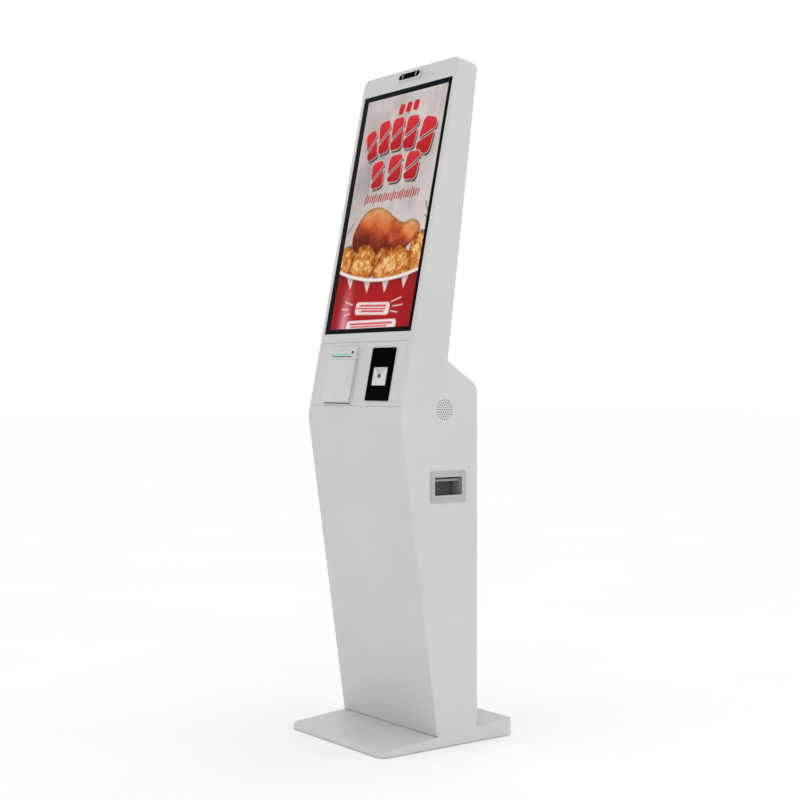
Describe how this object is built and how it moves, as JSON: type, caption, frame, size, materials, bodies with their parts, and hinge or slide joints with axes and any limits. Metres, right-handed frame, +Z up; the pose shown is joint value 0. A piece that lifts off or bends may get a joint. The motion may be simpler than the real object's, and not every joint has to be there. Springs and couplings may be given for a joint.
{
  "type": "self-service ordering and payment kiosk",
  "caption": "Floor-standing self-service kiosk: leaning portrait touch display on a bent sheet-steel column and wedge base, with receipt printer, code scanner, camera and rear service door.",
  "frame": {"origin": "middle of the footprint, on the floor", "axes": "+Z up, +X to the right of a person in front, +Y to the back"},
  "size_m": [0.395, 0.396, 1.66],
  "materials": {
    "powder_coat_white": "satin powder coat",
    "galvanised_steel": "brushed zinc-plated sheet",
    "ballast_steel": "raw plate",
    "floor_rubber": "matt",
    "black_glass": "polished, printed black border",
    "dark_plastic": "moulded, fine texture",
    "gloss_black_plastic": "high gloss",
    "white_plastic": "moulded, satin",
    "light_grey_plastic": "moulded, satin",
    "light_pipe": "translucent",
    "lamp_yellow": "translucent",
    "platen_rubber": "ground",
    "gear_nylon": "moulded",
    "brass": "machined",
    "steel": "ground",
    "paper": "thermal paper",
    "circuit_board": "shielded board",
    "cable_jacket": "pvc"
  },
  "bodies": {
    "cabinet": {"base_plinth": "powder_coat_white", "left_side_panel": "powder_coat_white", "right_side_panel": "powder_coat_white", "front_fascia": "powder_coat_white", "module_panel": "powder_coat_white", "head_top_cap": "powder_coat_white", "head_rear_cover": "powder_coat_white", "shoulder_cover": "powder_coat_white", "rear_frame": "powder_coat_white", "camera_housing": "powder_coat_white", "column_brackets": "galvanised_steel", "module_frame": "galvanised_steel", "case_rails": "galvanised_steel", "equipment_shelves": "galvanised_steel", "display_brackets": "galvanised_steel", "printer_chassis": "galvanised_steel", "power_supply": "galvanised_steel", "stepper_motor": "galvanised_steel", "ballast_plate": "ballast_steel", "floor_mat": "floor_rubber", "touch_glass": "black_glass", "display_panel": "dark_plastic", "camera_module": "dark_plastic", "print_head": "dark_plastic", "speakers": "dark_plastic", "fan_frame": "dark_plastic", "computer_box": "dark_plastic", "power_inlet": "dark_plastic", "scanner_engine": "dark_plastic", "camera_window": "gloss_black_plastic", "scanner_plate": "gloss_black_plastic", "printer_bezel": "white_plastic", "scanner_funnel": "white_plastic", "left_carry_handle": "light_grey_plastic", "right_carry_handle": "light_grey_plastic", "printer_lights": "light_pipe", "camera_light_bars": "lamp_yellow", "base_bolts": "steel", "case_screws": "steel", "paper_spindle": "steel", "paper_cutter": "steel", "hinge_fixed_leaves": "steel", "hinge_pins": "steel", "display_board": "circuit_board", "display_cable": "cable_jacket", "printer_cable": "cable_jacket", "mains_cable": "cable_jacket"},
    "rear_door": {"rear_door": "powder_coat_white", "hinge_door_leaves": "steel", "lock_barrel": "steel"},
    "door_lock": {"lock_core": "brass", "lock_cam": "steel"},
    "printer_cover": {"printer_cover": "white_plastic"},
    "release_button": {"release_button": "dark_plastic"},
    "platen": {"platen_roller": "platen_rubber", "platen_gear": "gear_nylon"},
    "feed_motor": {"motor_pinion": "brass"},
    "paper_roll": {"paper_roll": "paper"},
    "fan_rotor": {"fan_rotor": "dark_plastic"},
    "power_switch": {"power_switch_rocker": "dark_plastic"}
  },
  "joints": [
    {"name": "rear_door_hinge", "type": "hinge", "parent": "cabinet", "child": "rear_door", "pos_m": [-0.166, 0.094, 0.48], "axis": [0, 0, 1], "range_deg": [0, 110]},
    {"name": "door_lock_turn", "type": "hinge", "parent": "rear_door", "child": "door_lock", "pos_m": [0.138, 0.09, 0.48], "axis": [0, -1, 0], "range_deg": [0, 90]},
    {"name": "printer_cover_hinge", "type": "hinge", "parent": "cabinet", "child": "printer_cover", "pos_m": [-0.073, -0.14324, 0.82811], "axis": [1, 0, 0], "range_deg": [0, 80]},
    {"name": "release_button_press", "type": "slide", "parent": "cabinet", "child": "release_button", "axis": [0, 0.9792, -0.2028], "range_m": [0, 0.0015], "stiffness_N_per_m": 400},
    {"name": "platen_spin", "type": "hinge", "parent": "cabinet", "child": "platen", "pos_m": [-0.075, -0.08733, 0.92152], "axis": [1, 0, 0], "continuous": true},
    {"name": "feed_motor_spin", "type": "hinge", "parent": "cabinet", "child": "feed_motor", "pos_m": [-0.075, -0.075, 0.91896], "axis": [1, 0, 0], "continuous": true},
    {"name": "paper_roll_spin", "type": "hinge", "parent": "cabinet", "child": "paper_roll", "pos_m": [-0.075, -0.05328, 0.83941], "axis": [1, 0, 0], "continuous": true},
    {"name": "fan_spin", "type": "hinge", "parent": "cabinet", "child": "fan_rotor", "pos_m": [0, 0.03821, 1.25358], "axis": [0, -0.9919, 0.127], "continuous": true},
    {"name": "power_switch_rock", "type": "hinge", "parent": "cabinet", "child": "power_switch", "pos_m": [-0.033, 0.0895, 0.088], "axis": [1, 0, 0], "range_deg": [0, 16]}
  ],
  "couplings": [
    {"joint": "feed_motor_spin", "follows": "platen_spin", "ratio": -2},
    {"joint": "paper_roll_spin", "follows": "platen_spin", "ratio": -0.22222}
  ]
}
